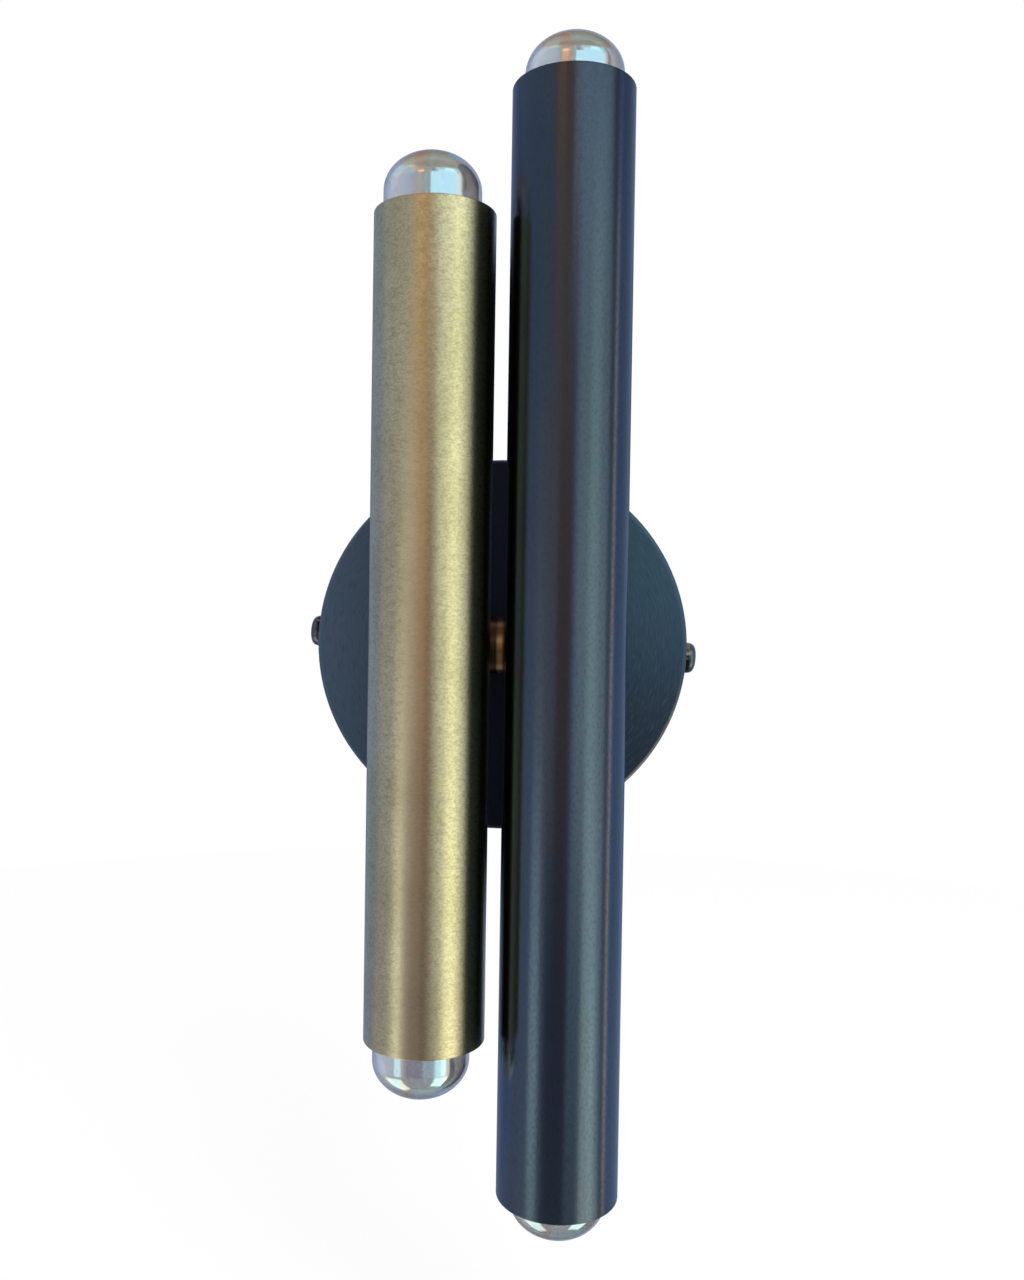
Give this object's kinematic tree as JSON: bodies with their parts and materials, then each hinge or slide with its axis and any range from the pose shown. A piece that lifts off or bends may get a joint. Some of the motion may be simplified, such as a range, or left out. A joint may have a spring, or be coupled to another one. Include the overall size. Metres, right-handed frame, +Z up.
{
  "type": "tube wall light",
  "caption": "Wall light on a round canopy, with upright brass and dark tubes side by side, open at their ends, holding screw-in tubular bulbs that point up and down.",
  "frame": {"origin": "centre of the wall strap's slots, on the wall plane behind the canopy's centre", "axes": "+Y into the wall, -Y out into the room, +Z up along the tubes, +X to the right as seen from the room"},
  "size_m": [0.1366, 0.0805, 0.3718],
  "materials": {
    "aged_brass": "brushed and aged, satin",
    "dark_metal": "blackened, satin",
    "slate_finish": "dark slate, satin, finely turned",
    "screw_finish": "dark slate, satin",
    "hub_brass": "turned, satin",
    "zinc": "zinc plated",
    "ground_green": "green dyed",
    "holder_black": "moulded, satin",
    "shell_metal": "bright, drawn",
    "cap_metal": "bright, rolled",
    "cap_glass": "fused black glass",
    "solder": "dull solder",
    "clear_glass": "clear",
    "filament": "dull wire",
    "sleeving": "woven sleeving"
  },
  "bodies": {
    "wall_bracket": {"wall_strap": "zinc", "strap_eyelet": "zinc", "ground_screw": "ground_green"},
    "fixture": {"ear_strap": "zinc", "canopy": "slate_finish", "canopy_collar": "hub_brass", "canopy_nipple": "zinc", "canopy_lock_washer": "zinc", "canopy_nut": "zinc", "hub": "hub_brass", "hub_end_plugs": "hub_brass", "tube_nipples": "zinc", "tube_saddle_washers": "zinc", "tube_nuts": "zinc", "holder_caps": "zinc", "brass_tube": "aged_brass", "brass_tube_tee": "hub_brass", "brass_tube_stems": "zinc", "brass_tube_leads": "sleeving", "dark_tube": "dark_metal", "dark_tube_tee": "hub_brass", "dark_tube_stems": "zinc", "dark_tube_leads": "sleeving", "brass_top_holder_body": "holder_black", "brass_top_screw_shell": "shell_metal", "brass_top_contact": "shell_metal", "brass_bottom_holder_body": "holder_black", "brass_bottom_screw_shell": "shell_metal", "brass_bottom_contact": "shell_metal", "dark_top_holder_body": "holder_black", "dark_top_screw_shell": "shell_metal", "dark_top_contact": "shell_metal", "dark_bottom_holder_body": "holder_black", "dark_bottom_screw_shell": "shell_metal", "dark_bottom_contact": "shell_metal"},
    "brass_top_bulb_foot": {"brass_top_bulb_tip": "solder"},
    "brass_top_bulb": {"brass_top_bulb_insulator": "cap_glass", "brass_top_bulb_cap": "cap_metal", "brass_top_bulb_glass": "clear_glass", "brass_top_bulb_filament": "filament"},
    "brass_bottom_bulb_foot": {"brass_bottom_bulb_tip": "solder"},
    "brass_bottom_bulb": {"brass_bottom_bulb_insulator": "cap_glass", "brass_bottom_bulb_cap": "cap_metal", "brass_bottom_bulb_glass": "clear_glass", "brass_bottom_bulb_filament": "filament"},
    "dark_top_bulb_foot": {"dark_top_bulb_tip": "solder"},
    "dark_top_bulb": {"dark_top_bulb_insulator": "cap_glass", "dark_top_bulb_cap": "cap_metal", "dark_top_bulb_glass": "clear_glass", "dark_top_bulb_filament": "filament"},
    "dark_bottom_bulb_foot": {"dark_bottom_bulb_tip": "solder"},
    "dark_bottom_bulb": {"dark_bottom_bulb_insulator": "cap_glass", "dark_bottom_bulb_cap": "cap_metal", "dark_bottom_bulb_glass": "clear_glass", "dark_bottom_bulb_filament": "filament"},
    "left_screw_foot": {"left_screw_shank": "zinc"},
    "left_screw": {"left_screw_head": "screw_finish"},
    "right_screw_foot": {"right_screw_shank": "zinc"},
    "right_screw": {"right_screw_head": "screw_finish"}
  },
  "joints": [
    {"name": "level_swivel", "type": "hinge", "parent": "wall_bracket", "child": "fixture", "pos_m": [0, 0, 0], "axis": [0, 1, 0], "range_deg": [-15, 15]},
    {"name": "brass_top_bulb_travel", "type": "slide", "parent": "fixture", "child": "brass_top_bulb_foot", "axis": [0, 0, 1], "range_m": [0, 0.0145]},
    {"name": "brass_top_bulb_turn", "type": "hinge", "parent": "brass_top_bulb_foot", "child": "brass_top_bulb", "pos_m": [-0.0221, -0.06145, 0], "axis": [0, 0, 1], "range_deg": [0, 1440]},
    {"name": "brass_bottom_bulb_travel", "type": "slide", "parent": "fixture", "child": "brass_bottom_bulb_foot", "axis": [0, 0, -1], "range_m": [0, 0.0145]},
    {"name": "brass_bottom_bulb_turn", "type": "hinge", "parent": "brass_bottom_bulb_foot", "child": "brass_bottom_bulb", "pos_m": [-0.0221, -0.06145, 0], "axis": [0, 0, -1], "range_deg": [0, 1440]},
    {"name": "dark_top_bulb_travel", "type": "slide", "parent": "fixture", "child": "dark_top_bulb_foot", "axis": [0, 0, 1], "range_m": [0, 0.0145]},
    {"name": "dark_top_bulb_turn", "type": "hinge", "parent": "dark_top_bulb_foot", "child": "dark_top_bulb", "pos_m": [0.0213, -0.06145, 0], "axis": [0, 0, 1], "range_deg": [0, 1440]},
    {"name": "dark_bottom_bulb_travel", "type": "slide", "parent": "fixture", "child": "dark_bottom_bulb_foot", "axis": [0, 0, -1], "range_m": [0, 0.0145]},
    {"name": "dark_bottom_bulb_turn", "type": "hinge", "parent": "dark_bottom_bulb_foot", "child": "dark_bottom_bulb", "pos_m": [0.0213, -0.06145, 0], "axis": [0, 0, -1], "range_deg": [0, 1440]},
    {"name": "left_screw_travel", "type": "slide", "parent": "fixture", "child": "left_screw_foot", "axis": [-0.9983, 0, 0.0576], "range_m": [0, 0.00396]},
    {"name": "left_screw_turn", "type": "hinge", "parent": "left_screw_foot", "child": "left_screw", "pos_m": [0, -0.0115, 0], "axis": [-0.9983, 0, 0.0576], "range_deg": [0, 1800]},
    {"name": "right_screw_travel", "type": "slide", "parent": "fixture", "child": "right_screw_foot", "axis": [0.9983, 0, -0.0576], "range_m": [0, 0.00396]},
    {"name": "right_screw_turn", "type": "hinge", "parent": "right_screw_foot", "child": "right_screw", "pos_m": [0, -0.0115, 0], "axis": [0.9983, 0, -0.0576], "range_deg": [0, 1800]}
  ],
  "couplings": [
    {"joint": "brass_top_bulb_turn", "follows": "brass_top_bulb_travel", "rad_per_m": 1730.9},
    {"joint": "brass_bottom_bulb_turn", "follows": "brass_bottom_bulb_travel", "rad_per_m": 1730.9},
    {"joint": "dark_top_bulb_turn", "follows": "dark_top_bulb_travel", "rad_per_m": 1730.9},
    {"joint": "dark_bottom_bulb_turn", "follows": "dark_bottom_bulb_travel", "rad_per_m": 1730.9},
    {"joint": "left_screw_turn", "follows": "left_screw_travel", "rad_per_m": 7913.3},
    {"joint": "right_screw_turn", "follows": "right_screw_travel", "rad_per_m": 7913.3}
  ]
}
